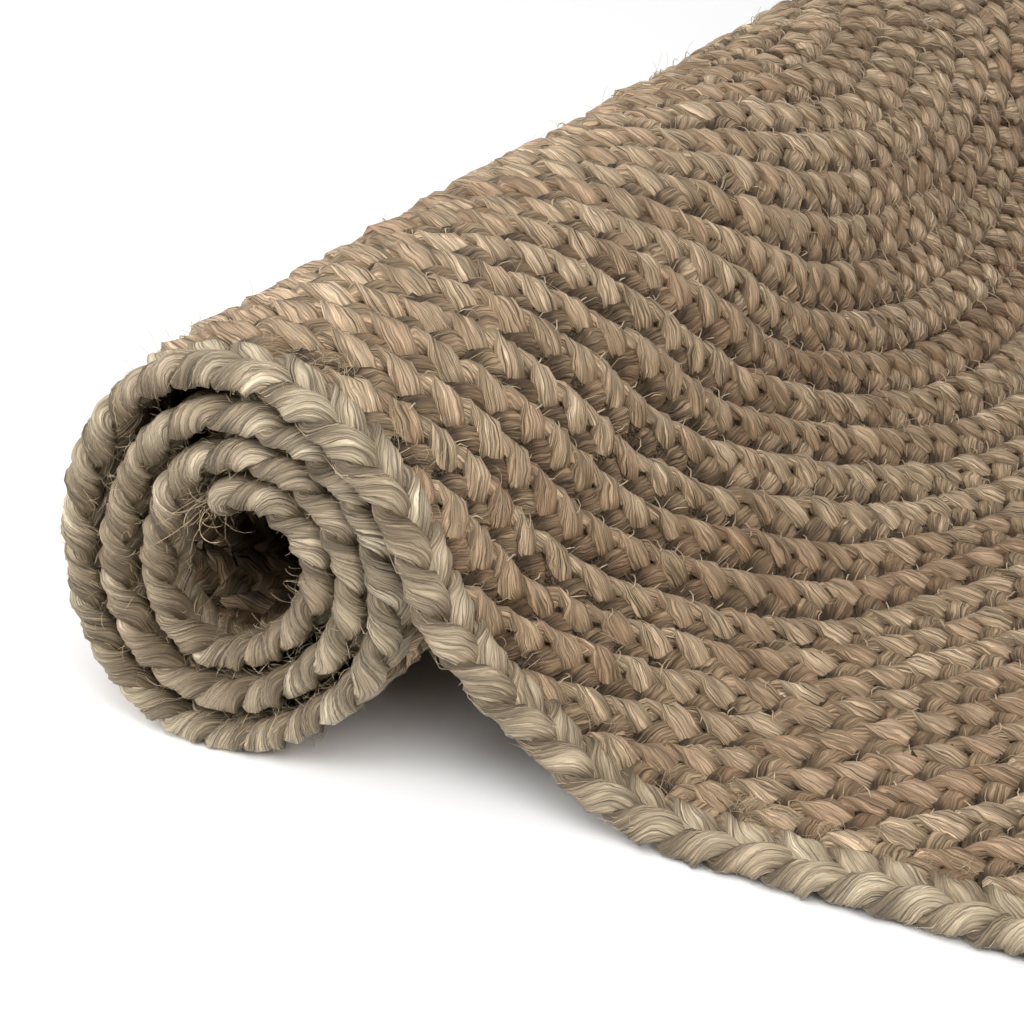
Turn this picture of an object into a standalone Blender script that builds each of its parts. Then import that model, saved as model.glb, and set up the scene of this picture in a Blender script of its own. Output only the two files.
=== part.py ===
"""Braided jute rug, 60 x 120 cm, rolled up from one short end.

The cloth is laid along one path: it starts inside the roll, winds outwards for a little over
three turns, leaves the top of the roll, comes down in a slope and ends flat on the floor.
X runs from the roll to the flat end, Y along the roll, Z up. The floor is at Z = 0.
"""

import math

import bmesh
import bpy
from mathutils import Vector
from mathutils.geometry import interpolate_bezier

# The rug laid out flat (metres).
RUG_LENGTH = 1.2
RUG_WIDTH = 0.6
THICKNESS = 0.0085
EDGE_BRAID_WIDTH = 0.0155
SEAM_GAP = 0.0003

# The roll seen from its end: the middle line of the cloth is a spiral that is slightly oval,
# with a soft corner where its weight sags, and a flat spot under it.
ROLL_RADIUS = 0.0524
TURN_PITCH = 0.0105
ROLL_CENTRE_HEIGHT = 0.0495
OVAL = 0.0029
OVAL_DIRECTION = math.radians(52)
CORNER = 0.001
CORNER_DIRECTION = math.radians(-6)
LOOSE_GAP = 0.0018
LOOSE_DIRECTION = math.radians(112)
LOOSE_SPREAD = math.radians(34)
INNER_END = math.radians(1212)
LEAVES_ROLL = math.radians(21)
ROLL_STEP = math.radians(14.85)

# The slope from the roll down to the floor.
SLOPE_LEAN = 0.049
SLOPE_RUN = 0.027
SLOPE_FOOT = 0.119
SLOPE_POINTS = 15

# How far each part of the length sits back from the front of the roll: the roll is not wound
# quite true. Columns: distance along the rug from its inner end, set-back.
SET_BACK = (
    (0.000, 0.004),
    (0.300, 0.001),
    (0.600, 0.000),
    (0.700, -0.003),
    (0.739, -0.003),
    (0.792, 0.0075),
    (1.200, 0.0075),
)

FLAT_COLUMNS = 5
FIELD_ROWS = 4

FIELD_COLOUR = (0.30, 0.21, 0.14, 1.0)
EDGE_COLOUR = (0.41, 0.32, 0.22, 1.0)


def remove_everything():
    for thing in list(bpy.data.objects):
        bpy.data.objects.remove(thing, do_unlink=True)
    for group in list(bpy.data.collections):
        bpy.data.collections.remove(group)


def smooth(share):
    return share * share * (3 - 2 * share)


def set_back(distance):
    """Y offset of the cloth at a distance along the rug."""
    for (start, before), (end, after) in zip(SET_BACK, SET_BACK[1:]):
        if distance <= end:
            return before + (after - before) * smooth((distance - start) / (end - start))
    return SET_BACK[-1][1]


def roll_point(angle):
    """Middle of the cloth on the spiral: the angle grows inwards, turn by turn."""
    loose = LOOSE_GAP * math.exp(-(((angle - LOOSE_DIRECTION) / LOOSE_SPREAD) ** 2))
    radius = (
        ROLL_RADIUS
        - TURN_PITCH * angle / math.tau
        + OVAL * math.cos(2 * (angle - OVAL_DIRECTION))
        + CORNER * math.cos(3 * (angle - CORNER_DIRECTION))
        + loose
    )
    height = ROLL_CENTRE_HEIGHT + radius * math.sin(angle)
    return Vector((radius * math.cos(angle), 0, max(height, THICKNESS / 2)))


def cloth_path():
    """Middle line of the cloth from its inner end to its flat end, RUG_LENGTH long."""
    turns = round((INNER_END - LEAVES_ROLL) / ROLL_STEP)
    path = [roll_point(INNER_END + (LEAVES_ROLL - INNER_END) * k / turns) for k in range(turns)]
    top = roll_point(LEAVES_ROLL)
    heading = (roll_point(LEAVES_ROLL - 0.01) - top).normalized()
    foot = Vector((SLOPE_FOOT, 0, THICKNESS / 2))
    along_floor = Vector((1, 0, 0))
    path += interpolate_bezier(
        top, top + SLOPE_LEAN * heading, foot - SLOPE_RUN * along_floor, foot, SLOPE_POINTS
    )
    flat = RUG_LENGTH - length_of(path)
    path += [foot + along_floor * flat * (k + 1) / FLAT_COLUMNS for k in range(FLAT_COLUMNS)]
    return path


def length_of(path):
    return sum((b - a).length for a, b in zip(path, path[1:]))


def point_at(path, distance):
    for a, b in zip(path, path[1:]):
        step = (b - a).length
        if distance <= step:
            return a.lerp(b, distance / step)
        distance -= step
    return path[-1]


def columns_between(path, start, end):
    """The path's points from one distance to another, as (distance, point) pairs."""
    columns = [(start, point_at(path, start))]
    distance = 0.0
    for a, b in zip(path, path[1:]):
        distance += (b - a).length
        if start + SEAM_GAP < distance < end - SEAM_GAP:
            columns.append((distance, b))
    return columns + [(end, point_at(path, end))]


def centred(path):
    """X and Y that bring the middle of the rug's footprint to the origin."""
    left = min(point.x for point in path) - THICKNESS / 2
    front = min(back for _, back in SET_BACK)
    rear = RUG_WIDTH + max(back for _, back in SET_BACK)
    return Vector((-(left + path[-1].x) / 2, -(front + rear) / 2, 0))


def cloth_grid(columns, rows, shift):
    """Open surface of the cloth: one column of vertices per path point, one row per width line."""
    bm = bmesh.new()
    bmesh.ops.create_grid(bm, x_segments=len(columns) - 1, y_segments=len(rows) - 1, size=0.5)
    bm.verts.ensure_lookup_table()
    for number, vert in enumerate(bm.verts):
        row, column = divmod(number, len(columns))
        distance, point = columns[column]
        vert.co = point + shift + Vector((0, rows[row] + set_back(distance), 0))
    return bm


def add_cloth(name, bm, colour, roughness, group):
    mesh = bpy.data.meshes.new(name)
    bm.to_mesh(mesh)
    bm.free()
    cloth = bpy.data.objects.new(name, mesh)
    group.objects.link(cloth)

    material = bpy.data.materials.new(name)
    material.use_nodes = True
    shader = material.node_tree.nodes["Principled BSDF"]
    shader.inputs["Base Color"].default_value = colour
    shader.inputs["Roughness"].default_value = roughness
    mesh.materials.append(material)
    mesh.shade_smooth()
    mesh.set_sharp_from_angle(angle=math.radians(40))

    body = cloth.modifiers.new("Thickness", "SOLIDIFY")
    body.thickness = THICKNESS
    body.offset = 0
    body.use_even_offset = True
    return cloth


def add_braided_field(path, shift, group):
    """The field: the plaits that are coiled and sewn side by side into one cloth."""
    seam = EDGE_BRAID_WIDTH + SEAM_GAP
    columns = columns_between(path, seam, RUG_LENGTH - seam)
    width = RUG_WIDTH - 2 * seam
    rows = [seam + width * k / FIELD_ROWS for k in range(FIELD_ROWS + 1)]
    add_cloth("braided_field", cloth_grid(columns, rows, shift), FIELD_COLOUR, 0.9, group)


def add_edge_braid(path, shift, group):
    """The edge: one wider plait sewn round all four sides of the field."""
    inner = EDGE_BRAID_WIDTH
    ends = columns_between(path, 0, inner)
    ends += columns_between(path, inner, RUG_LENGTH - inner)[1:]
    columns = ends + columns_between(path, RUG_LENGTH - inner, RUG_LENGTH)[1:]
    width = RUG_WIDTH - 2 * inner
    rows = [0, *(inner + width * k / FIELD_ROWS for k in range(FIELD_ROWS + 1)), RUG_WIDTH]
    bm = cloth_grid(columns, rows, shift)

    row_faces = len(columns) - 1
    bm.faces.ensure_lookup_table()
    covered = []
    for number, face in enumerate(bm.faces):
        row, column = divmod(number, row_faces)
        start, end = columns[column][0], columns[column + 1][0]
        inside_length = inner < (start + end) / 2 < RUG_LENGTH - inner
        if inside_length and 0 < row < len(rows) - 2:
            covered.append(face)
    bmesh.ops.delete(bm, geom=covered, context="FACES")
    add_cloth("edge_braid", bm, EDGE_COLOUR, 0.9, group)


def main():
    remove_everything()
    group = bpy.data.collections.new("jute_rug")
    bpy.context.scene.collection.children.link(group)
    path = cloth_path()
    shift = centred(path)
    add_braided_field(path, shift, group)
    add_edge_braid(path, shift, group)


main()
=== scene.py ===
"""A braided jute rug, partly rolled up.

Plaits of jute are coiled and sewn side by side, and one flatter plait edges them all round.
Everything is made on the rug as it lies flat, in rug coordinates: distance along the rug from
its inner end, distance across it from its near edge, and height over its middle. roll_up() then
lays each finished mesh along the rug's real path: the roll, the slope and the flat part.
"""

import math

import bmesh
import bpy
import numpy as np
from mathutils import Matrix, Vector


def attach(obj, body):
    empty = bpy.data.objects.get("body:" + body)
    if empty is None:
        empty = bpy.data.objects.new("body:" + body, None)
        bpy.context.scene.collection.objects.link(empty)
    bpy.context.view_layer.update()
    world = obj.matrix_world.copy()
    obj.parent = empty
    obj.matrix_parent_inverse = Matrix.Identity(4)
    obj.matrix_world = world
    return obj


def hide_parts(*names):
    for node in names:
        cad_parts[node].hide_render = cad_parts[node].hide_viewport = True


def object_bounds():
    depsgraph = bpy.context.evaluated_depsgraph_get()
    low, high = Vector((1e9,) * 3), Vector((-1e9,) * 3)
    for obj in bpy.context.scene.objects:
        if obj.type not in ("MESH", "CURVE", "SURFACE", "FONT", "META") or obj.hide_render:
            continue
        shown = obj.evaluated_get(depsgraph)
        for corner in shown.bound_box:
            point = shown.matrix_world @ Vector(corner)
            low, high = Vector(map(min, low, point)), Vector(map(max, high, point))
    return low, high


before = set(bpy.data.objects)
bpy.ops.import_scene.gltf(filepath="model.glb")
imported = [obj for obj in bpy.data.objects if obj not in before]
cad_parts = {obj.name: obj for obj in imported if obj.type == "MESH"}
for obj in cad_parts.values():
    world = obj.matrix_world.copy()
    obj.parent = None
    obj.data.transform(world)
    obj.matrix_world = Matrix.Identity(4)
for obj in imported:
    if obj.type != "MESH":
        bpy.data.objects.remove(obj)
cad_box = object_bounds()

MM = 0.001
TURN = 2 * math.pi

# The rug laid out flat, and its plaits (metres).
RUG_LENGTH = 1.2
RUG_WIDTH = 0.6
THICKNESS = 8.5 * MM
EDGE_WIDTH = 15.5 * MM
ROW_PITCH = 14 * MM
COIL_MIDDLE = (0.56, 0.308)
# How far the rows' ends go under the edge braid, and the backing's distance from the rim.
TUCK = 8 * MM
BACKING_INSET = 4 * MM
BACKING_THICKNESS = 2.4 * MM

# The way it lies: the same roll, slope and flat part as its solids.
ROLL_RADIUS = 0.0524
TURN_PITCH = 0.0105
ROLL_CENTRE_HEIGHT = 0.0495
OVAL, OVAL_DIRECTION = 0.0029, math.radians(52)
CORNER, CORNER_DIRECTION = 0.001, math.radians(-6)
LOOSE_GAP, LOOSE_DIRECTION, LOOSE_SPREAD = 0.0018, math.radians(112), math.radians(34)
INNER_END = math.radians(1212)
LEAVES_ROLL = math.radians(21)
SLOPE_LEAN = 0.049
SLOPE_RUN = 0.027
SLOPE_FOOT = 0.119
# Nothing lies lower than this over the floor.
FLOOR_CLEARANCE = 0.2 * MM
# Distance along the rug, and how far its near edge sits back there.
SET_BACK = (
    (0.000, 0.004),
    (0.300, 0.001),
    (0.600, 0.000),
    (0.700, -0.003),
    (0.739, -0.003),
    (0.792, 0.0075),
    (1.200, 0.0075),
)


# ---------------------------------------------------------------- small helpers

def add_object(name, data):
    thing = bpy.data.objects.new(name, data)
    bpy.context.scene.collection.objects.link(thing)
    return thing


def eased(x):
    """From 0 to 1 as x does, starting and ending gently."""
    x = np.clip(x, 0, 1)
    return x * x * (3 - 2 * x)


def unit(vectors):
    return vectors / np.maximum(np.linalg.norm(vectors, axis=1, keepdims=True), 1e-12)


def run_length(points):
    """Distance along a line of points, from its first point to each of them."""
    steps = np.linalg.norm(np.diff(points, axis=0), axis=1)
    return np.concatenate([[0], np.cumsum(steps)])


def point_at(places, distance, points):
    """Points (along, across) of a line at these places, given its points' distances."""
    return np.stack([np.interp(places, distance, points[:, k]) for k in (0, 1)], -1)


# ---------------------------------------------------------------- the way the rug lies

def roll_middle(angle):
    """Middle of the cloth on the spiral, from the roll's own centre line on the floor."""
    loose = LOOSE_GAP * np.exp(-(((angle - LOOSE_DIRECTION) / LOOSE_SPREAD) ** 2))
    radius = (
        ROLL_RADIUS
        - TURN_PITCH * angle / TURN
        + OVAL * np.cos(2 * (angle - OVAL_DIRECTION))
        + CORNER * np.cos(3 * (angle - CORNER_DIRECTION))
        + loose
    )
    height = ROLL_CENTRE_HEIGHT + radius * np.sin(angle)
    return np.stack([radius * np.cos(angle), np.maximum(height, THICKNESS / 2)], -1)


def rug_path():
    """Columns x, z of the middle line, evenly spaced from the inner end to the flat end."""
    spiral = roll_middle(np.linspace(INNER_END, LEAVES_ROLL, 4000))
    top = spiral[-1]
    heading = top - spiral[-2]
    heading /= np.linalg.norm(heading)
    foot = np.array([SLOPE_FOOT, THICKNESS / 2])
    t = np.linspace(0, 1, 400)[1:, None]
    slope = (
        (1 - t) ** 3 * top
        + 3 * t * (1 - t) ** 2 * (top + SLOPE_LEAN * heading)
        + 3 * t**2 * (1 - t) * (foot - [SLOPE_RUN, 0])
        + t**3 * foot
    )
    line = np.concatenate([spiral, slope])
    done = run_length(line)
    line = np.concatenate([line, [foot + [RUG_LENGTH - done[-1], 0]]])
    done = np.append(done, RUG_LENGTH)
    even = np.linspace(0, RUG_LENGTH, 2401)
    return even, np.interp(even, done, line[:, 0]), np.interp(even, done, line[:, 1])


PATH_DISTANCE, PATH_X, PATH_Z = rug_path()
PATH_HEADING = np.unwrap(np.arctan2(np.gradient(PATH_Z), np.gradient(PATH_X)))
# Averaged with six neighbours on each side, so that no crease shows.
PATH_HEADING = np.convolve(np.pad(PATH_HEADING, 6, "edge"), np.ones(13) / 13, "valid")
# From the path's own coordinates to the room's.
HOME = Vector((
    (cad_box[0][0] + cad_box[1][0] - (PATH_X.min() - THICKNESS / 2) - PATH_X[-1]) / 2,
    cad_box[0][1] - min(back for _, back in SET_BACK),
    0,
))


def set_back(along):
    """How far the near edge sits back at a distance along the rug."""
    back = np.full_like(along, SET_BACK[0][1])
    for (start, before), (end, after) in zip(SET_BACK, SET_BACK[1:]):
        back += (after - before) * eased((along - start) / (end - start))
    return back


def roll_up(points):
    """Rug coordinates (along, across, height) to the place in the room."""
    along, across, height = points[:, 0], points[:, 1], points[:, 2]
    x = np.interp(along, PATH_DISTANCE, PATH_X)
    z = np.interp(along, PATH_DISTANCE, PATH_Z)
    heading = np.interp(along, PATH_DISTANCE, PATH_HEADING)
    past = along - np.clip(along, 0, RUG_LENGTH)
    x = x + past * np.cos(heading) - height * np.sin(heading)
    z = z + past * np.sin(heading) + height * np.cos(heading)
    y = across + set_back(np.clip(along, 0, RUG_LENGTH))
    return np.stack([x + HOME.x, y + HOME.y, np.maximum(z, FLOOR_CLEARANCE)], -1)


# ---------------------------------------------------------------- strands

# Uneven handwork: the distance over which a measure drifts, and how far it drifts each way.
BUNDLE_DRIFT = (9 * MM, 0.11)
ROW_HEIGHT_DRIFT = (26 * MM, 0.75 * MM)
ROW_SIDEWAYS_DRIFT = (30 * MM, 0.9 * MM)
ROW_PHASE_DRIFT = (45 * MM, 0.6)
ROW_TONE_DRIFT = (220 * MM, 0.3)
STRAND_FULLNESS_DRIFT = (11 * MM, 0.17)
STRAND_SIDEWAYS_DRIFT = (9 * MM, 0.7 * MM)
STRAND_HEIGHT_DRIFT = (9 * MM, 0.45 * MM)
STRAND_TWIST_DRIFT = (9 * MM, 0.25)
STRAND_TONE_DRIFT = (24 * MM, 0.35)

# Turns the place where a strand starts into a number of its own.
OWN_MIX = (373.0, 911.0, 577.0)
# Threads have fewer sides than this, and no bundles.
FEWEST_BUNDLES = 6
# A strand's girth is about this many times its half width.
GIRTH = 5


def waver(rng, distance, drift, slack=1.0):
    """A smooth random value along a run, drifting as one of the drifts above, times the slack."""
    step, reach = drift
    reach = reach * slack
    place = (distance - distance[0]) / step + rng.uniform(0, 1)
    knots = rng.uniform(-reach, reach, int(place[-1]) + 3)
    whole = place.astype(int)
    return knots[whole] + (knots[whole + 1] - knots[whole]) * eased(place - whole)


class Strand:
    """One run of a strand: a ring of its section at each centre.

    tone runs from 0, pale, to 1, dark. The shade amount says how much painted shade the fibre gets, more
    the lower it lies and on the near side of leaning rows; own is the strand's own number.
    """

    def __init__(self, centre, side, up, half_width, half_height, tone, painted_shade_amount):
        self.centre, self.side, self.up = centre, side, up
        self.half_width, self.half_height = half_width, half_height
        self.tone, self.painted_shade_amount = tone, painted_shade_amount
        self.own = np.full(len(centre), float(centre[0] @ OWN_MIX) % 1.0)

    def bundles(self, sides):
        """Uneven fullness round the section: bundles of fibre that run along the strand for a while."""
        if sides < FEWEST_BUNDLES:
            return 1.0
        rng = np.random.default_rng(int(self.own[0] * 1e6))
        distance = run_length(self.centre)
        uneven = np.stack([1 + waver(rng, distance, BUNDLE_DRIFT) for _ in range(sides)], 1)
        return np.concatenate([uneven, uneven[:, :1]], 1)


def strand_mesh(name, strands, sides, press=None, square=1.0):
    """All the strands as one mesh of closed tubes, made in rug coordinates and rolled up.

    press moves the finished rings. square, from 0 to 1, fills out the corners of the oval section.
    """
    rings = sum(len(s.centre) for s in strands)
    around = np.linspace(0, TURN, sides + 1)
    wide_part = np.sign(np.cos(around)) * np.abs(np.cos(around)) ** (1 - 0.1 * square)
    tall_part = np.sign(np.sin(around)) * np.abs(np.sin(around)) ** (1 - 0.25 * square)
    rows, lengths, tones, painted_shade_amounts, owns = [], [], [], [], []
    for s in strands:
        bundles = s.bundles(sides)
        flat = s.side[:, None] * (s.half_width[:, None] * wide_part * bundles)[:, :, None]
        tall = s.up[:, None] * (s.half_height[:, None] * tall_part * bundles)[:, :, None]
        rows.append(s.centre[:, None] + flat + tall)
        lengths.append(run_length(s.centre))
        tones.append(s.tone)
        painted_shade_amounts.append(s.painted_shade_amount)
        owns.append(s.own)
    rings_at = np.concatenate(rows).reshape(-1, 3)
    if press:
        rings_at = press(rings_at)

    bm = bmesh.new()
    bmesh.ops.create_grid(bm, x_segments=sides, y_segments=rings - 1, size=0.5)
    mesh = bpy.data.meshes.new(name)
    bm.to_mesh(mesh)
    bm.free()
    mesh.vertices.foreach_set("co", roll_up(rings_at).astype(np.float32).ravel())

    corners = np.empty(len(mesh.loops), np.int32)
    mesh.loops.foreach_get("vertex_index", corners)
    ring, spoke = corners // (sides + 1), corners % (sides + 1)
    layer = mesh.uv_layers.new(name="UVMap")
    girth = np.concatenate([s.half_width for s in strands]).mean() * GIRTH
    uv = np.stack([np.concatenate(lengths)[ring], spoke / sides * girth], -1)
    layer.data.foreach_set("uv", uv.astype(np.float32).ravel())
    for label, values in (("tone", tones), ("painted_shade_amount", painted_shade_amounts), ("own", owns)):
        attribute = mesh.attributes.new(label, "FLOAT", "POINT")
        all_round = np.repeat(np.concatenate(values), sides + 1)
        attribute.data.foreach_set("value", all_round.astype(np.float32))

    # One strip of faces runs on from the end of each strand to the start of the next: these go,
    # the sides meet, and the ends are closed.
    bm = bmesh.new()
    bm.from_mesh(mesh)
    bm.faces.ensure_lookup_table()
    ends = np.cumsum([len(s.centre) for s in strands])[:-1]
    between = [bm.faces[(end - 1) * sides + k] for end in ends for k in range(sides)]
    bmesh.ops.delete(bm, geom=between, context="FACES")
    bmesh.ops.remove_doubles(bm, verts=bm.verts, dist=1e-7)
    bmesh.ops.holes_fill(bm, edges=[e for e in bm.edges if e.is_boundary], sides=0)
    if bm.calc_volume(signed=True) < 0:
        bmesh.ops.reverse_faces(bm, faces=bm.faces)
    for face in bm.faces:
        face.smooth = True
    bm.to_mesh(mesh)
    bm.free()
    return add_object(name, mesh)


class Plait:
    """Sizes of a three-strand plait, in metres.

    swing and lift: how far a strand's centre goes sideways and up. wave: length of one round of
    the plait. lean: how far the near side of a row dips. waist: how wide a strand is as it crosses
    the middle, as a share of its usual width.
    """

    def __init__(self, swing, lift, half_width, half_height, wave, lean, waist):
        self.swing, self.lift = swing, lift
        self.half_width, self.half_height = half_width, half_height
        self.wave = wave
        self.lean = lean
        self.waist = waist


FIELD_PLAIT = Plait(5.35 * MM, 1.8 * MM, 4.1 * MM, 2.4 * MM, 36 * MM, lean=1.3 * MM, waist=1.1)
EDGE_PLAIT = Plait(4.9 * MM, 1.4 * MM, 4.4 * MM, 2.9 * MM, 39 * MM, lean=0.0, waist=1.0)
# How late a strand of a leaning row dives, in radians, and how strongly light and shade are painted
# across the row: shade on its near side, light on its far side.
LATE_DIVE = 0.35
ROW_SIDE_PAINTED_SHADING = 0.85
# A cut end narrows to this share over this length.
END_SHARE = 0.35
END_LENGTH = 4 * MM


def strand_turn(phase):
    """How far a strand's flat face has turned about the plait: it wraps round both edges."""
    p = np.mod(phase, TURN)
    out = math.pi / 2 * (1 - np.cos(2 * (p - TURN / 8)))
    back = math.pi / 2 * (1 + np.cos(2 * (p - TURN * 5 / 8)))
    turn = np.where(p > TURN * 7 / 8, 0, np.where(p > TURN * 5 / 8, back, math.pi))
    return np.where(p < TURN / 8, 0, np.where(p < TURN * 3 / 8, out, turn))


def plait_strands(plait, route, distance, rng, slack=1.0, ends_taper=True):
    """The three strands of a plait that follows a route (along, across) at these distances."""
    travel = unit(np.gradient(route, axis=0))
    across = np.stack([-travel[:, 1], travel[:, 0], np.zeros(len(route))], -1)
    rise = waver(rng, distance, ROW_HEIGHT_DRIFT, slack)
    sway = waver(rng, distance, ROW_SIDEWAYS_DRIFT, slack)
    hurry = waver(rng, distance, ROW_PHASE_DRIFT, slack)
    batch = waver(rng, distance, ROW_TONE_DRIFT)
    # Rows dip on the side that looks towards the near edge, and get painted shade there and painted
    # light on their other side.
    near_side = np.clip(-across[:, 1], 0, 1) * eased((route[:, 0] - 0.5) / 0.08)
    lean = plait.lean * near_side
    up = np.array([0, 0, 1.0])
    level = np.concatenate([route, np.zeros((len(route), 1))], 1)
    strands = []
    for k in range(3):
        phase = TURN * distance / plait.wave + TURN * k / 3 + hurry
        lobe = np.sin(2 * phase) ** 2
        fat = 1 + waver(rng, distance, STRAND_FULLNESS_DRIFT, slack)
        w = plait.swing * (np.sin(phase) - 0.06 * np.sin(3 * phase))
        w = w + sway + waver(rng, distance, STRAND_SIDEWAYS_DRIFT, slack)
        late = LATE_DIVE * eased(0.5 - w / plait.swing) * near_side
        h = plait.lift * np.sin(2 * phase - late) + rise
        h = h + waver(rng, distance, STRAND_HEIGHT_DRIFT, slack)
        h = h - lean * w / plait.swing
        centre = level + across * w[:, None] + up * h[:, None]
        turn = strand_turn(phase) + waver(rng, distance, STRAND_TWIST_DRIFT) + lean / plait.swing
        forward = unit(np.gradient(centre, axis=0))
        face = up * np.cos(turn)[:, None] + across * np.sin(turn)[:, None]
        side = unit(np.cross(forward, face))
        face = np.cross(side, forward)
        half_width = plait.half_width * fat * (plait.waist + (1.04 - plait.waist) * lobe)
        half_height = plait.half_height * (0.9 + 0.14 * lobe) * (1.5 - 0.5 * fat)
        if ends_taper:
            from_end = np.minimum(distance - distance[0], distance[-1] - distance)
            narrow = END_SHARE + (1 - END_SHARE) * eased(from_end / END_LENGTH)
            half_width, half_height = half_width * narrow, half_height * narrow
        tone = np.clip(0.5 + batch + waver(rng, distance, STRAND_TONE_DRIFT), 0, 1)
        # Painted light and shade across a leaning row: shade on its near side, light on its far side.
        row_side_painted_shading = ROW_SIDE_PAINTED_SHADING * w / plait.swing * near_side * (plait.lean > 0)
        # Painted shade by height: the lower the fibre lies, the darker it is painted.
        painted_shade_amount = np.clip(0.5 - (h - rise) / (2 * plait.lift) + row_side_painted_shading, 0, 1.2)
        strands.append(Strand(centre, side, face, half_width, half_height, tone, painted_shade_amount))
    return strands


# ---------------------------------------------------------------- the field: one coiled plait

# The coil starts after this much of its first turn, and is drawn in this many steps.
COIL_START = 0.55 * TURN
COIL_STEPS = 400000
# Runs of the coil with this few rings are left out, and those with no more than six are short.
FEWEST_RINGS = 2
SHORT_RUN = 6
# Rings in one piece, which keeps it light enough.
RINGS_IN_A_PIECE = 11500
FIELD_SIDES = 8


def coil_route():
    """The coil of plait: its places (along, across) in the rug, and distance along the plait."""
    growth = ROW_PITCH / TURN
    far = math.hypot(RUG_LENGTH - COIL_MIDDLE[0], RUG_WIDTH - COIL_MIDDLE[1]) + ROW_PITCH
    angle = np.linspace(COIL_START, far / growth, COIL_STEPS)
    radius = growth * angle
    # Neighbouring rows drift out and in together.
    east, south = np.cos(angle), -np.sin(angle)
    drift = 1.3 * MM * np.sin(radius * 31 + 5 * east)
    drift = drift + 1.1 * MM * np.sin(radius * 47 - 7 * south + 1)
    radius = radius + drift * eased(radius / 0.1)
    route = np.stack([COIL_MIDDLE[0] + radius * east, COIL_MIDDLE[1] + radius * south], -1)
    return route, run_length(route)


def ring_step(along, across):
    """Distance between a strand's rings: shortest at the near part, longest inside the roll."""
    hidden = (along < 0.385) & (np.minimum(across, RUG_WIDTH - across) > 0.05)
    close = (along > 0.53) & (along < 0.96) & (across < 0.45)
    return np.where(hidden, 9 * MM, FIELD_PLAIT.wave / np.where(close, 16, 9))


def field_runs():
    """Stretches of the coil that lie inside the edge braid, as (route, distance) pairs."""
    route, travelled = coil_route()
    # Places along the coil, spaced as ring_step says.
    rate = 1 / ring_step(route[:, 0], route[:, 1])
    rings = np.concatenate([[0], np.cumsum(np.diff(travelled) * (rate[1:] + rate[:-1]) / 2)])
    places = np.interp(np.arange(int(rings[-1])), rings, travelled)
    route = point_at(places, travelled, route)
    reach = EDGE_WIDTH - TUCK
    inside = (
        (route[:, 0] > reach) & (route[:, 0] < RUG_LENGTH - reach)
        & (route[:, 1] > reach) & (route[:, 1] < RUG_WIDTH - reach)
    )
    starts = np.flatnonzero(inside & ~np.roll(inside, 1))
    stops = np.flatnonzero(inside & ~np.roll(inside, -1)) + 1
    runs = [(route[a:b], places[a:b]) for a, b in zip(starts, stops) if b - a > FEWEST_RINGS]
    # The short ones that fill the corners come last.
    return sorted(runs, key=lambda run: len(run[1]) <= SHORT_RUN)


FIELD_RUNS = field_runs()


def press_under_edge(points):
    """Rows that reach the edge braid go under it: they flatten to half and stop there."""
    flattens_from, flattens_over, stops_at = 2 * MM, 6 * MM, 9 * MM
    pressed = points.copy()
    for axis, size in ((0, RUG_LENGTH), (1, RUG_WIDTH)):
        for sign, edge in ((1, 0.0), (-1, size)):
            beyond = EDGE_WIDTH - sign * (points[:, axis] - edge)
            share = eased((beyond - flattens_from) / flattens_over)
            pressed[:, 2] *= 1 - 0.5 * share
            too_far = beyond > stops_at
            pressed[too_far, axis] = edge + sign * (EDGE_WIDTH - stops_at)
    return pressed


def field_strands():
    rng = np.random.default_rng(11)
    return [s for run in FIELD_RUNS for s in plait_strands(FIELD_PLAIT, *run, rng)]


def make_field(strands):
    """The strands of the coil, shared out so that no piece gets too heavy."""
    shares, load = [[]], 0
    for strand in strands:
        if load + len(strand.centre) > RINGS_IN_A_PIECE:
            shares.append([])
            load = 0
        shares[-1].append(strand)
        load += len(strand.centre)
    return [
        strand_mesh(f"field_plaits_{k + 1}", share, FIELD_SIDES, press_under_edge)
        for k, share in enumerate(shares)
    ]


# ---------------------------------------------------------------- the edge braid

# Rings in one round of the plait: on the near side, and on average on the other three.
NEAR_RINGS = 34
OTHER_RINGS = 14
EDGE_SIDES = 12
EDGE_SQUARE = 0.3
EDGE_SLACK = 0.7


def edge_route():
    """Once round the rug, starting with the near side, with small round corners."""
    inset = EDGE_WIDTH / 2 - 2.2 * MM
    bend = 7 * MM
    corners = [
        (RUG_LENGTH - inset, inset),
        (inset, inset),
        (inset, RUG_WIDTH - inset),
        (RUG_LENGTH - inset, RUG_WIDTH - inset),
    ]
    points = []
    for k, corner in enumerate(corners):
        corner = np.array(corner)
        before = unit((corner - corners[k - 1])[None])[0]
        after = unit((np.array(corners[(k + 1) % 4]) - corner)[None])[0]
        middle = corner - bend * before + bend * after
        for turn in np.linspace(0, TURN / 4, 9):
            points.append(middle + bend * (before * np.sin(turn) - after * np.cos(turn)))
    points.append(points[0])
    points = np.array(points)
    done = run_length(points)
    waves = round(done[-1] / EDGE_PLAIT.wave)
    # The near side takes about this many rounds of the plait.
    near_waves = 30
    near = np.arange(0, RUG_LENGTH, done[-1] / waves / NEAR_RINGS)
    others = np.linspace(near[-1], done[-1], (waves - near_waves) * OTHER_RINGS)
    places = np.concatenate([near, others[1:]])
    return point_at(places, done, points), places * waves * EDGE_PLAIT.wave / done[-1]


def edge_strands():
    rng = np.random.default_rng(5)
    return plait_strands(EDGE_PLAIT, *edge_route(), rng, slack=EDGE_SLACK, ends_taper=False)


# ---------------------------------------------------------------- stitches and loose fibres

THREAD_SIDES = 3
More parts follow.
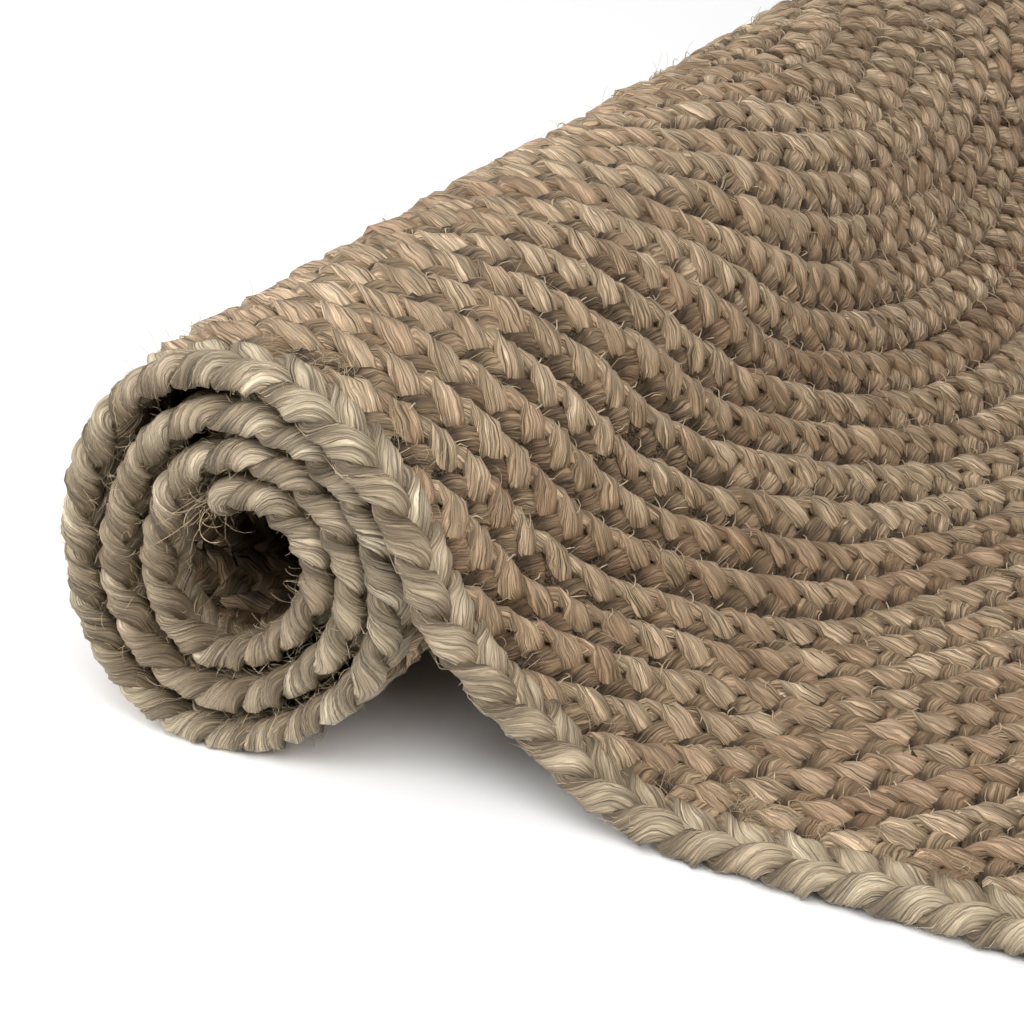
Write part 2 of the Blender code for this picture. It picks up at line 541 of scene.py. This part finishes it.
# A hook of sewing thread, in millimetres: along its row, out over the valley, and up.
HOOK = (
    (-1.6, 3.9, 1.4),
    (-1.1, 5.0, 3.5),
    (0.4, 6.9, 4.9),
    (1.9, 8.9, 5.3),
    (2.5, 10.0, 4.0),
)
# Distance between stitches, how much further apart they are at the far parts, and the share left out.
STITCH_GAP = (6, 11)
FAR_STITCHES = 1.7
STITCHES_LEFT_OUT = 0.25
# Fibres split off the strands of the field and of the edge braid, and the usual loose fibre's radius.
SPLIT_FROM_FIELD = 2600
SPLIT_FROM_EDGE = 320
FIBRE_RADIUS = 0.06 * MM


def thread(points, radius, tone):
    """A thin thread through these points, tapering at both ends."""
    count = len(points)
    forward = unit(np.gradient(points, axis=0))
    side = unit(np.cross(forward, np.array([0.31, 0.17, 0.93])))
    taper = radius * np.array([0.55] + [1.0] * (count - 2) + [0.4])
    shade = np.full(count, tone)
    return Strand(points, side, np.cross(side, forward), taper, taper, shade, np.zeros(count))


def make_stitches():
    """Small hooks of sewing thread over the valley between one row and the next."""
    rng = np.random.default_rng(23)
    hook = np.array(HOOK) * MM
    threads = []
    for route, distance in FIELD_RUNS:
        travel = unit(np.gradient(route, axis=0))
        at = distance[0]
        while at < distance[-1]:
            k = min(np.searchsorted(distance, at), len(route) - 1)
            close = 0.55 < route[k, 0] < 0.96 and route[k, 1] < 0.45
            at += rng.uniform(*STITCH_GAP) * MM * (1 if close else FAR_STITCHES)
            in_roll = route[k, 0] < 0.4
            near_edge = min(route[k, 1], RUG_WIDTH - route[k, 1]) < 0.024
            if in_roll or near_edge or rng.uniform() < STITCHES_LEFT_OUT:
                continue
            turn = rng.normal(0, 0.35)
            cosine, sine = math.cos(turn), math.sin(turn)
            bent = hook * [1, 1, rng.uniform(0.85, 1.1)] + rng.normal(0, 0.25 * MM, hook.shape)
            start = bent[0].copy()
            bent = start + (bent - start) * rng.uniform(0.7, 1.1)
            from_start = bent - start
            along = start[0] + from_start[:, 0] * cosine + from_start[:, 1] * sine
            out = start[1] + from_start[:, 1] * cosine - from_start[:, 0] * sine
            outwards = (-travel[k, 1], travel[k, 0])
            place = route[k] + np.outer(along, travel[k]) + np.outer(out, outwards)
            points = np.concatenate([place, bent[:, 2:]], 1)
            threads.append(thread(points, rng.uniform(0.13, 0.22) * MM, rng.uniform(0, 1)))
    return strand_mesh("stitches", threads, THREAD_SIDES)


def curls(rng, starts, towards, length, bend, radius, steps=4):
    """Curved fibres from these starts; towards, length and bend may be one value or one for each."""
    count = len(starts)
    heading = unit(np.broadcast_to(towards, (count, 3)) + rng.normal(0, 0.45, (count, 3)))
    axis = unit(np.cross(heading, rng.normal(0, 1, (count, 3))))
    length = np.broadcast_to(length, count) * rng.uniform(0.5, 1.3, count)
    bend = bend * rng.uniform(0.2, 1.2, count)
    points = [starts]
    for step in range(steps):
        angle = (bend * (step + 0.5) / steps)[:, None]
        now = heading * np.cos(angle) + np.cross(axis, heading) * np.sin(angle)
        points.append(points[-1] + now * (length / steps)[:, None])
    points = np.stack(points, 1)
    tones = rng.uniform(0, 1, count)
    return [thread(points[k], radius * rng.uniform(0.7, 1.3), tones[k]) for k in range(count)]


def split_fibres(strands, count, rng, step):
    """Fibres that have come away from the upper side of the strands, a little off their direction.

    Each one follows its strand over five rings that are a step apart.
    """
    sizes = np.array([len(s.centre) for s in strands])
    threads = []
    while len(threads) < count:
        s = strands[rng.choice(len(strands), p=sizes / sizes.sum())]
        if len(s.centre) < 12:
            continue
        k = rng.integers(0, len(s.centre) - 10)
        place = s.centre[k]
        close = 0.5 < place[0] < 0.96 and place[1] < 0.45
        if not close or place[2] < 0:
            continue
        rows = k + np.arange(5) * step
        angle = rng.uniform(0.5, 2.6) + np.linspace(0, rng.normal(0, 0.5), 5)
        top = s.up if s.up[k, 2] > 0 else -s.up
        out = 1.03 + np.array([0, 0.03, 0.05, 0.12, 0.3]) * rng.uniform(0, 2)
        points = (
            s.centre[rows]
            + s.side[rows] * (s.half_width[rows] * np.cos(angle) * out)[:, None]
            + top[rows] * (s.half_height[rows] * np.sin(angle) * out)[:, None]
        )
        threads.append(thread(points, rng.uniform(0.06, 0.11) * MM, rng.uniform(0, 1)))
    return threads


def make_fibres(field_parts, edge_parts):
    """Loose fibres: on the face, out of the rims, along the edge seam, and at the frayed inner end."""
    rng = np.random.default_rng(41)
    threads = split_fibres(field_parts, SPLIT_FROM_FIELD, rng, 1)
    threads += split_fibres(edge_parts, SPLIT_FROM_EDGE, rng, 3)

    def scatter(count, along, across, height, towards, length, bend, radius=FIBRE_RADIUS, steps=4):
        starts = np.stack([rng.uniform(*span, count) for span in (along, across, height)], -1)
        threads.extend(curls(rng, starts, towards, length, bend, radius, steps))

    long, wide = RUG_LENGTH, RUG_WIDTH
    # Face and silhouette.
    scatter(420, (0.56, 0.96), (0.02, 0.42), (3 * MM, 4.5 * MM), (0.6, 0.5, 0.35), 8 * MM, 1.6)
    scatter(50, (0.45, 0.66), (0.0, 0.55), (3 * MM, 4.5 * MM), (0.2, -0.3, 0.7), 4 * MM, 1.2)
    # Out of the near rim, most of it on the roll's end.
    scatter(420, (0.0, 0.36), (0.1 * MM, 2 * MM), (-3.5 * MM, 3.5 * MM), (0.5, -0.7, 0.0), 5 * MM, 2.4)
    scatter(220, (0.36, 0.70), (0.1 * MM, 2 * MM), (-3.5 * MM, 3.5 * MM), (0.6, -0.5, 0.0), 4 * MM, 2.4)
    scatter(360, (0.0, 0.36), (1 * MM, 9 * MM), (3 * MM, 4.4 * MM), (0.6, -0.5, 0.4), 6 * MM, 2.6)
    scatter(420, (0.0, 0.62), (1 * MM, 9 * MM), (-4.4 * MM, -3 * MM), (0.6, -0.5, -0.4), 6 * MM, 2.6)
    scatter(160, (0.66, long), (0.1 * MM, 2 * MM), (-3 * MM, 3 * MM), (0.6, -0.5, 0.1), 4 * MM, 1.6)
    # Far rim and flat end.
    scatter(180, (0.3, long), (wide - 2 * MM, wide), (-3 * MM, 3 * MM), (0.4, 0.7, 0.1), 4 * MM, 1.8)
    scatter(60, (long - 2 * MM, long), (0.0, wide), (-3 * MM, 3 * MM), (0.7, 0.3, 0.1), 4 * MM, 1.8)
    # Tangles along the seam of the edge braid.
    scatter(500, (0.5, 0.97), (13 * MM, 18 * MM), (2.5 * MM, 4 * MM), (0.4, 0.3, 0.3), 7 * MM, 3.0)
    for middle in rng.uniform(0.5, 0.95, 12):
        place = (middle - 5 * MM, middle + 5 * MM)
        scatter(16, place, (14 * MM, 20 * MM), (3 * MM, 5 * MM), (0.2, 0.2, 0.3), 7 * MM, 4.5)
    # The frayed inner end: long fibres, short ones, and loops of yarn.
    scatter(14, (-1 * MM, 6 * MM), (0.0, 10 * MM), (-4 * MM, 4 * MM), (-0.8, -0.3, 0.2), 17 * MM, 2.0)
    scatter(70, (0.0, 60 * MM), (0.0, 6 * MM), (-4 * MM, 4 * MM), (0.5, -0.5, 0.0), 7 * MM, 4.0)
    scatter(
        7, (-1 * MM, 5 * MM), (1 * MM, 5 * MM), (-2 * MM, 3 * MM), (-0.9, -0.3, 0.5), 17 * MM, 3.6,
        radius=0.14 * MM, steps=14,
    )
    return strand_mesh("loose_fibres", threads, THREAD_SIDES)


# ---------------------------------------------------------------- the cloth that the rows are sewn into

def corner_order(face):
    """A number that sorts faces by their corners."""
    corners = [vert.index for vert in face.verts]
    return min(corners) * 1e6 + max(corners)


def make_backing():
    """The sewn inner faces of the rows: a thin sheet in the middle of the rug, coloured dark to paint
    the shade deep between the rows.
    """
    bm = bmesh.new()
    bmesh.ops.create_grid(bm, x_segments=400, y_segments=3, size=0.5)
    for vert in bm.verts:
        vert.co.x = RUG_LENGTH / 2 + vert.co.x * (RUG_LENGTH - 2 * BACKING_INSET)
        vert.co.y = RUG_WIDTH / 2 + vert.co.y * (RUG_WIDTH - 2 * BACKING_INSET)
        vert.co.z = -BACKING_THICKNESS / 2
    bmesh.ops.solidify(bm, geom=bm.faces[:], thickness=-BACKING_THICKNESS)
    # The faces of the rim come in any order, so all are sorted to be the same each time.
    bm.verts.index_update()
    bm.faces.sort(key=corner_order)
    flat = np.array([vert.co for vert in bm.verts])
    for vert, place in zip(bm.verts, roll_up(flat)):
        vert.co = place
    if bm.calc_volume(signed=True) < 0:
        bmesh.ops.reverse_faces(bm, faces=bm.faces)
    mesh = bpy.data.meshes.new("row_seams")
    bm.to_mesh(mesh)
    bm.free()
    mesh.shade_smooth()
    return add_object("row_seams", mesh)


# ---------------------------------------------------------------- jute

class Nodes:
    """A short way to add and join shader nodes."""

    def __init__(self, name):
        self.material = bpy.data.materials.new(name)
        self.material.use_nodes = True
        self.tree = self.material.node_tree
        self.shader = self.tree.nodes["Principled BSDF"]

    def add(self, kind, inputs=None, **settings):
        node = self.tree.nodes.new("ShaderNode" + kind)
        for key, value in settings.items():
            setattr(node, key, value)
        for key, value in (inputs or {}).items():
            self.put(node.inputs[key], value)
        return node

    def put(self, socket, value):
        if isinstance(value, bpy.types.NodeSocket):
            self.tree.links.new(value, socket)
        else:
            socket.default_value = value

    def surface(self, colour, roughness, specular):
        self.put(self.shader.inputs["Base Color"], colour)
        self.shader.inputs["Roughness"].default_value = roughness
        self.shader.inputs["Specular IOR Level"].default_value = specular

    def relief(self, height):
        bump = self.add("Bump", {"Height": height, "Strength": 1.0, "Distance": 2 * MM})
        self.put(self.shader.inputs["Normal"], bump.outputs[0])

    def spread(self, value, low, high, start=0.0, end=1.0):
        return self.add("MapRange", {0: value, 1: low, 2: high, 3: start, 4: end}).outputs[0]

    def math(self, operation, a, b=0.0):
        return self.add("Math", {0: a, 1: b}, operation=operation).outputs[0]

    def blend(self, share, a, b, way="MIX"):
        node = self.add("Mix", data_type="RGBA", blend_type=way)
        self.put(node.inputs[0], share)
        self.put(node.inputs[6], a)
        self.put(node.inputs[7], b)
        return node.outputs[2]


def jute(name, light, dark, ruddy, deepest_painted_shade=0.24):
    """Jute fibre: long fine streaks along each strand, a tone that drifts from strand to strand, and
    painted light and shade by how high the fibre lies.

    light and dark are the colours of its streaks, ruddy the colour that some strands lean to, and the
    last setting the share of brightness that the painted shade leaves on the lowest fibre.
    """
    n = Nodes(name)
    place = n.add("UVMap", uv_map="UVMap").outputs["UV"]
    tone = n.add("Attribute", attribute_name="tone").outputs["Fac"]
    painted_shade_amount = n.add("Attribute", attribute_name="painted_shade_amount").outputs["Fac"]
    own = n.add("Attribute", attribute_name="own").outputs["Fac"]
    split = n.add("SeparateXYZ", {0: place})

    def streaks(along, across, detail, seed, sideways=0.0):
        at = n.add("CombineXYZ", {
            0: n.math("MULTIPLY", split.outputs[0], along),
            1: n.math("MULTIPLY", n.math("ADD", split.outputs[1], sideways), across),
            2: n.math("MULTIPLY", own, seed),
        })
        look = {"Vector": at.outputs[0], "Scale": 1.0, "Detail": detail, "Roughness": 0.6}
        return n.add("TexNoise", look).outputs["Fac"]

    # Fibres wander sideways, so that they part and meet again.
    wander = n.math("MULTIPLY", streaks(150, 420, 1.0, 90.0), 0.0022)
    fine = streaks(75, 3900, 3.0, 310.0, wander)
    bundle = streaks(60, 1750, 2.0, 170.0, wander)
    patch = streaks(80, 260, 1.0, 530.0)
    mixed = n.math("ADD", n.math("MULTIPLY", fine, 0.6), n.math("MULTIPLY", bundle, 0.4))
    colour = n.blend(n.spread(mixed, 0.37, 0.61), dark, light)
    warm = n.math("ADD", n.math("MULTIPLY", patch, 0.5), n.math("MULTIPLY", tone, 0.5))
    colour = n.blend(n.spread(warm, 0.40, 0.72, 0.0, 0.75), colour, n.blend(0.6, colour, ruddy))
    # Thin lines of painted shade where the bundles part, darker fibre now and then, and painted light on
    # the highest fibre with painted shade on the lower fibre and on the near side of leaning rows.
    painted_parting_shade = n.spread(n.math("MINIMUM", bundle, fine), 0.28, 0.40, 0.55, 1.0)
    drift = n.spread(patch, 0.30, 0.70, 0.66, 1.24)
    batch = n.spread(tone, 0.0, 1.0, 1.14, 0.82)
    # Painted light and shade by height: the highest fibre is brightened, the lowest darkened.
    low = n.spread(painted_shade_amount, 0.0, 0.95, 1.3, deepest_painted_shade)
    tone_and_painted_shade = n.math("MULTIPLY", n.math("MULTIPLY", painted_parting_shade, drift), n.math("MULTIPLY", batch, low))
    # Darker fibre, painted shade included, is browner: its green falls off a little faster than its red,
    # and its blue more.
    green, blue = n.math("POWER", tone_and_painted_shade, 1.08), n.math("POWER", tone_and_painted_shade, 1.22)
    shade = n.add("CombineColor", {0: tone_and_painted_shade, 1: green, 2: blue}).outputs[0]
    n.surface(n.blend(1.0, colour, shade, "MULTIPLY"), 0.46, 0.5)
    n.relief(n.math("ADD", n.math("MULTIPLY", fine, 0.35), n.math("MULTIPLY", bundle, 0.65)))
    return n.material


def tangle_in_painted_shade(name, light, dark):
    """Fibres seen deep between the rows, coloured near black as painted shade."""
    n = Nodes(name)
    place = n.add("TexCoord").outputs["Object"]
    look = {"Vector": place, "Scale": 900.0, "Detail": 3.0, "Distortion": 1.5}
    knots = n.add("TexNoise", look).outputs["Fac"]
    n.surface(n.blend(n.spread(knots, 0.42, 0.62), dark, light), 0.9, 0.2)
    n.relief(knots)
    return n.material


def plain(name, colour, roughness, specular):
    n = Nodes(name)
    n.surface(colour, roughness, specular)
    return n.material


FIELD_JUTE = jute(
    "field_jute",
    light=(0.68, 0.495, 0.31, 1),
    dark=(0.085, 0.052, 0.027, 1),
    ruddy=(0.38, 0.21, 0.118, 1),
)
EDGE_JUTE = jute(
    "edge_jute",
    light=(0.61, 0.495, 0.33, 1),
    dark=(0.13, 0.097, 0.062, 1),
    ruddy=(0.42, 0.30, 0.19, 1),
    deepest_painted_shade=0.5,
)
# Painted shade: the sheet between the rows is coloured near black for the shade deep down there.
SHADED_SEAM_JUTE = tangle_in_painted_shade("seam_jute_painted_shade", light=(0.20, 0.14, 0.085, 1), dark=(0.02, 0.013, 0.008, 1))
THREAD_JUTE = plain("thread_jute", (0.52, 0.41, 0.27, 1), roughness=0.6, specular=0.3)


# ---------------------------------------------------------------- the rug

backing = make_backing()
coiled, edging = field_strands(), edge_strands()
field = make_field(coiled)
edge = strand_mesh("edge_plait", edging, EDGE_SIDES, square=EDGE_SQUARE)
stitches = make_stitches()
fibres = make_fibres(coiled, edging)
for piece, finish, slot in (
    (backing, SHADED_SEAM_JUTE, "field_braid"),
    *((part, FIELD_JUTE, "field_braid") for part in field),
    (edge, EDGE_JUTE, "edge_braid"),
    (stitches, THREAD_JUTE, "field_braid"),
    (fibres, THREAD_JUTE, "field_braid"),
):
    piece.data.materials.append(finish)
    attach(piece, "root")
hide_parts("braided_field")
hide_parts("edge_braid")


# ---------------------------------------------------------------- the studio

def make_floor(half_side):
    bm = bmesh.new()
    bmesh.ops.create_grid(bm, x_segments=1, y_segments=1, size=half_side)
    mesh = bpy.data.meshes.new("floor")
    bm.to_mesh(mesh)
    bm.free()
    mesh.materials.append(plain("pale_floor", (0.97, 0.97, 0.97, 1), roughness=0.9, specular=0.0))
    add_object("floor", mesh)


def add_light(name, place, aim, side, power):
    """A square soft light, side metres wide."""
    data = bpy.data.lights.new(name, "AREA")
    data.shape = "SQUARE"
    data.size = side
    data.energy = power
    lamp = add_object(name, data)
    lamp.location = place
    lamp.rotation_euler = (Vector(aim) - Vector(place)).to_track_quat("-Z", "Y").to_euler()


def make_world(strength):
    """Soft light from all round, and a white backdrop for the camera."""
    world = bpy.data.worlds.new("studio")
    world.use_nodes = True
    tree = world.node_tree
    around = tree.nodes["Background"]
    around.inputs["Color"].default_value = (1, 1, 1, 1)
    around.inputs["Strength"].default_value = strength
    backdrop = tree.nodes.new("ShaderNodeBackground")
    backdrop.inputs["Color"].default_value = (1, 1, 1, 1)
    seen = tree.nodes.new("ShaderNodeMixShader")
    tree.links.new(tree.nodes.new("ShaderNodeLightPath").outputs["Is Camera Ray"], seen.inputs[0])
    tree.links.new(around.outputs[0], seen.inputs[1])
    tree.links.new(backdrop.outputs[0], seen.inputs[2])
    tree.links.new(seen.outputs[0], tree.nodes["World Output"].inputs["Surface"])
    bpy.context.scene.world = world


def make_camera():
    data = bpy.data.cameras.new("camera")
    data.sensor_width = 36
    data.lens = 98.5
    data.clip_start = 0.01
    camera = add_object("camera", data)
    camera.location = (0.1255, -0.7921, 0.3454)
    looks_down, turned_left = 25.14, 28.86
    camera.rotation_euler = (math.radians(90 - looks_down), 0, math.radians(turned_left))
    bpy.context.scene.camera = camera


make_floor(half_side=2.5)
make_world(0.2)
add_light("overhead", (0.0, 0.8, 5.0), (0.0, 0.8, 0.0), side=16.0, power=520)
add_light("left", (-2.0, 0.2, 1.2), (-0.2, 0.0, 0.05), side=1.2, power=8)
add_light("right_front", (0.7, -0.8, 0.6), (-0.1, -0.25, 0.05), side=0.5, power=3.6)
add_light("low_left", (-1.3, -1.1, 0.45), (-0.2, -0.3, 0.05), side=0.6, power=12)
add_light("front", (0.1, -0.75, 0.75), (-0.05, -0.2, 0.03), side=0.6, power=4.5)
make_camera()
bpy.context.scene.view_settings.view_transform = "Standard"
